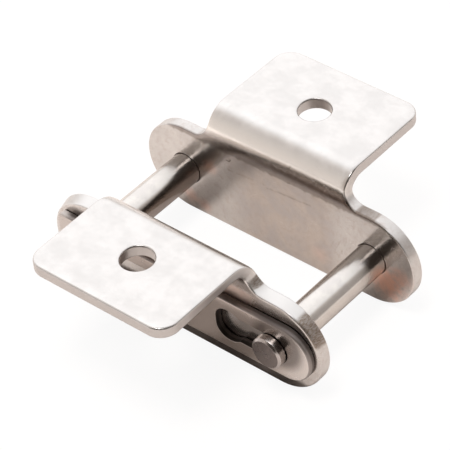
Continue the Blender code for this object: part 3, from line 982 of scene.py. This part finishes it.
def dress(name, mesh, material, place, turn, node, body):
    """Puts a finer piece where a node of the frame is, and lets it stand for that node."""
    piece = bpy.data.objects.new(name, mesh)
    bpy.context.scene.collection.objects.link(piece)
    mesh.materials.clear()
    mesh.materials.append(material)
    piece.location = place
    piece.rotation_euler = (0, 0, turn)
    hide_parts(node)
    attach(piece, body)


def add_plates():
    mesh = plate_mesh("riveted_plate_shape", RIVETED_OUTER_EDGES)
    place = (0, INNER_FACE, AXIS_HEIGHT)
    steel = riveted_plate_steel()
    dress("folded_riveted_plate", mesh, steel, place, 0, "riveted_plate", "riveted_half")
    mesh = plate_mesh("cover_plate_shape", COVER_OUTER_EDGES)
    place = (0, -INNER_FACE, AXIS_HEIGHT)
    steel = cover_plate_steel()
    dress("folded_cover_plate", mesh, steel, place, pi, "cover_plate", "cover")


def add_pins():
    mesh = pin_mesh()
    place = (-HALF_PITCH, 0, AXIS_HEIGHT)
    steel = pin_steel("left_pin_steel", LEFT_SIDE_SHADE)
    dress("turned_left_pin", mesh, steel, place, 0, "left_pin", "riveted_half")
    place = (HALF_PITCH, 0, AXIS_HEIGHT)
    steel = pin_steel("right_pin_steel", RIGHT_SIDE_SHADE)
    dress("turned_right_pin", mesh.copy(), steel, place, 0, "right_pin", "riveted_half")


def add_clip():
    place = (0, CLIP_HIGH.y, AXIS_HEIGHT)
    dress("sprung_clip", clip_mesh(), clip_steel(), place, 0, "spring_clip", "riveted_half")


def add_camera():
    """The camera of the photograph, placed from the middle of the link at the pins' height."""
    azimuth, elevation = CAMERA_AZIMUTH, CAMERA_ELEVATION
    back = Vector((sin(azimuth) * cos(elevation), -cos(azimuth) * cos(elevation), sin(elevation)))
    level = Vector((cos(azimuth), sin(azimuth), 0))
    rise = back.cross(level)
    right = level * cos(CAMERA_ROLL) + rise * sin(CAMERA_ROLL)
    up = rise * cos(CAMERA_ROLL) - level * sin(CAMERA_ROLL)
    camera = bpy.data.objects.new("camera", bpy.data.cameras.new("camera"))
    bpy.context.scene.collection.objects.link(camera)
    camera.data.lens = CAMERA_LENS
    place = Vector((0, 0, AXIS_HEIGHT)) + right * CAMERA_ASIDE + up * CAMERA_RISE + back * CAMERA_DISTANCE
    axes = Matrix((right, up, back)).transposed()
    camera.matrix_world = Matrix.Translation(place) @ axes.to_4x4()
    bpy.context.scene.camera = camera


def floor_material():
    """Pale paper for the light, mixed with a white glow for the camera and the metal's reflections."""
    material = bpy.data.materials.new("white_floor")
    material.use_nodes = True
    graph = Graph(material.node_tree)
    paper = graph.tree.nodes["Principled BSDF"]
    # Darker paper near the link: painted shade round it
    place = graph.add("NewGeometry").outputs["Position"]
    away = graph.step(graph.vector("LENGTH", place), *FLOOR_FAR_REACH)
    graph.feed(paper.inputs["Base Color"], graph.blend(away, FLOOR_COLOUR, FLOOR_FAR_COLOUR))
    paper.inputs["Roughness"].default_value = FLOOR_ROUGHNESS
    paper.inputs["Specular IOR Level"].default_value = 0.0
    white = graph.add("Emission")
    white.inputs["Strength"].default_value = FLOOR_WHITE
    rays = graph.add("LightPath").outputs
    metal = graph.math("MAXIMUM", rays["Is Glossy Ray"], rays["Is Transmission Ray"])
    for_camera = graph.product(rays["Is Camera Ray"], SHADOWLESS_FOR_CAMERA)
    in_metal = graph.product(metal, SHADOWLESS_IN_METAL)
    mix = graph.add("MixShader")
    graph.feed(mix.inputs[0], graph.math("ADD", for_camera, in_metal, clamp=True))
    graph.feed(mix.inputs[1], paper.outputs[0])
    graph.feed(mix.inputs[2], white.outputs[0])
    graph.feed(graph.tree.nodes["Material Output"].inputs["Surface"], mix.outputs[0])
    return material


def add_floor():
    """A pale floor that looks white and keeps a faint shadow."""
    body = bmesh.new()
    bmesh.ops.create_grid(body, x_segments=1, y_segments=1, size=FLOOR_SIZE / 2)
    mesh = bpy.data.meshes.new("floor")
    body.to_mesh(mesh)
    body.free()
    mesh.materials.append(floor_material())
    floor = bpy.data.objects.new("floor", mesh)
    bpy.context.scene.collection.objects.link(floor)


def add_studio():
    """White to the camera. What lights the metal is bright above and behind, and dark low in front.

    Straight above it is dimmer, and a small bright window there is mirrored by the rounded edges.
    """
    world = bpy.data.worlds.new("studio")
    world.use_nodes = True
    bpy.context.scene.world = world
    graph = Graph(world.node_tree)
    direction = graph.add("TexCoord").outputs["Generated"]
    aside, behind, height = graph.parts(direction)
    bright = graph.step(graph.facing(direction, DARK_DIRECTION), *DARK_REACH, 1.0, 0.0)
    around = graph.step(aside, *STUDIO_SPAN, STUDIO_LEFT, STUDIO_RIGHT)
    panel_depth = graph.step(behind, *PANEL_FRONT)
    panel_width = graph.step(aside, *PANEL_RIGHT)
    panel_height = graph.step(height, *PANEL_LOW)
    on_panel = graph.product(panel_depth, panel_width, panel_height)
    crest = graph.step(graph.facing(direction, CREST_DIRECTION), *CREST_REACH, 0.0, CREST_GLOW)
    ceiling = graph.step(height, *CEILING_REACH, 1.0, CEILING_SHARE)
    in_glint = graph.step(graph.facing(direction, GLINT_DIRECTION), *GLINT_REACH)

    lights = graph.sum(graph.mix(bright, STUDIO_DARK, around), graph.product(on_panel, PANEL_GLOW), crest)
    upper = graph.sum(graph.product(lights, ceiling), graph.product(in_glint, GLINT_GLOW))
    strength = graph.mix(graph.step(height, *HORIZON), FLOOR_GLOW, upper)
    colour = graph.blend(bright, DARK_COLOUR, STUDIO_COLOUR)
    colour = graph.blend(graph.step(on_panel, 0.0, 1.0), colour, PANEL_COLOUR)
    colour = graph.blend(in_glint, colour, PANEL_COLOUR)
    seen = graph.add("LightPath").outputs["Is Camera Ray"]
    background = graph.tree.nodes["Background"]
    graph.feed(background.inputs["Color"], graph.blend(seen, colour, WHITE))
    graph.feed(background.inputs["Strength"], graph.mix(seen, strength, 1.0))


def add_key_lamp():
    """A softbox overhead, a little towards the camera, which the metal does not mirror."""
    lamp = bpy.data.objects.new("softbox", bpy.data.lights.new("softbox", "AREA"))
    lamp.data.size = KEY_SIZE
    lamp.data.energy = KEY_POWER
    lamp.location = KEY_PLACE
    lamp.visible_camera = False
    lamp.visible_glossy = False
    bpy.context.scene.collection.objects.link(lamp)


add_plates()
add_pins()
add_clip()
add_camera()
add_floor()
add_studio()
add_key_lamp()
bpy.context.scene.view_settings.view_transform = "Standard"
